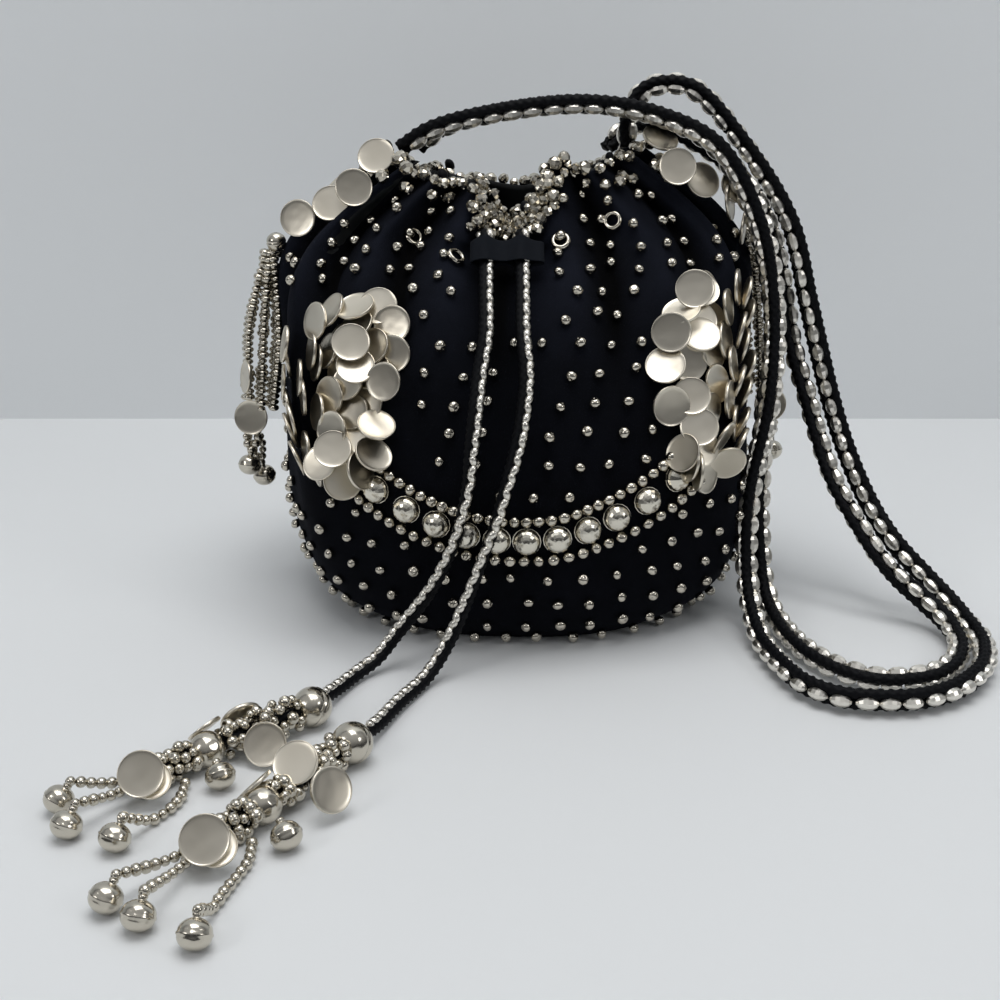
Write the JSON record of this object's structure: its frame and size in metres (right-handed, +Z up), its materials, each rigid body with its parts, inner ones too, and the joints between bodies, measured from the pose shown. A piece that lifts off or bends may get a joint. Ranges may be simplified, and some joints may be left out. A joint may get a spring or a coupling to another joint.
{
  "type": "potli bag",
  "caption": "Round gathered velvet pouch with a drawstring, cloth slider, a double beaded rope strap, bead tassels and pressed metal disc and dome trim, for carrying small things.",
  "frame": {"origin": "middle of the flat base of the pouch, where it stands on the table", "axes": "+Z up, -Y towards the front with the garland and the drawstring ends, +X to the right seen from the front"},
  "size_m": [0.3065, 0.3172, 0.1953],
  "materials": {
    "velvet": "short pile velvet",
    "satin": "smooth woven satin",
    "braid": "braided cord",
    "silver": "plated sheet metal and beads"
  },
  "bodies": {
    "bag": {"drawstring_left": "braid", "drawstring_right": "braid", "front_tassel_ball": "silver", "front_tassel_bell_1": "silver", "front_tassel_bell_2": "silver", "front_tassel_bell_3": "silver", "front_tassel_disc_a": "silver", "front_tassel_disc_b": "silver", "front_tassel_end_disc": "silver", "front_tassel_mid_ball": "silver", "front_tassel_mid_bell": "silver", "front_tassel_string_1": "silver", "front_tassel_string_2": "silver", "front_tassel_string_3": "silver", "garland_dome_1": "silver", "garland_dome_10": "silver", "garland_dome_11": "silver", "garland_dome_2": "silver", "garland_dome_3": "silver", "garland_dome_4": "silver", "garland_dome_5": "silver", "garland_dome_6": "silver", "garland_dome_7": "silver", "garland_dome_8": "silver", "garland_dome_9": "silver", "neck_ring_back_1": "silver", "neck_ring_back_2": "silver", "neck_ring_front_1": "silver", "neck_ring_front_2": "silver", "neck_ring_front_3": "silver", "neck_ring_front_4": "silver", "pouch_lining": "satin", "rear_tassel_ball": "silver", "rear_tassel_bell_1": "silver", "rear_tassel_bell_2": "silver", "rear_tassel_bell_3": "silver", "rear_tassel_disc_a": "silver", "rear_tassel_disc_b": "silver", "rear_tassel_end_disc": "silver", "rear_tassel_mid_ball": "silver", "rear_tassel_mid_bell": "silver", "rear_tassel_string_1": "silver", "rear_tassel_string_2": "silver", "rear_tassel_string_3": "silver", "strap_front": "braid", "strap_back": "braid", "velvet_pouch": "velvet"},
    "slider": {"cord_slider": "satin"},
    "left_tassel": {"left_side_ball": "silver", "left_side_bell_1": "silver", "left_side_bell_2": "silver", "left_side_disc": "silver", "left_side_string_1": "silver", "left_side_string_2": "silver"},
    "right_tassel": {"right_side_ball": "silver", "right_side_bell_1": "silver", "right_side_bell_2": "silver", "right_side_disc": "silver", "right_side_string_1": "silver", "right_side_string_2": "silver"}
  },
  "joints": [
    {"name": "slider_slide", "type": "slide", "parent": "bag", "child": "slider", "axis": [0, -0.7549, -0.6559], "range_m": [0, 0.025]},
    {"name": "left_tassel_swing", "type": "hinge", "parent": "bag", "child": "left_tassel", "pos_m": [-0.086, -0.005, 0.139], "axis": [0, 1, 0], "range_deg": [0, 60]},
    {"name": "right_tassel_swing", "type": "hinge", "parent": "bag", "child": "right_tassel", "pos_m": [0.086, 0.014, 0.139], "axis": [0, -1, 0], "range_deg": [0, 60]}
  ]
}
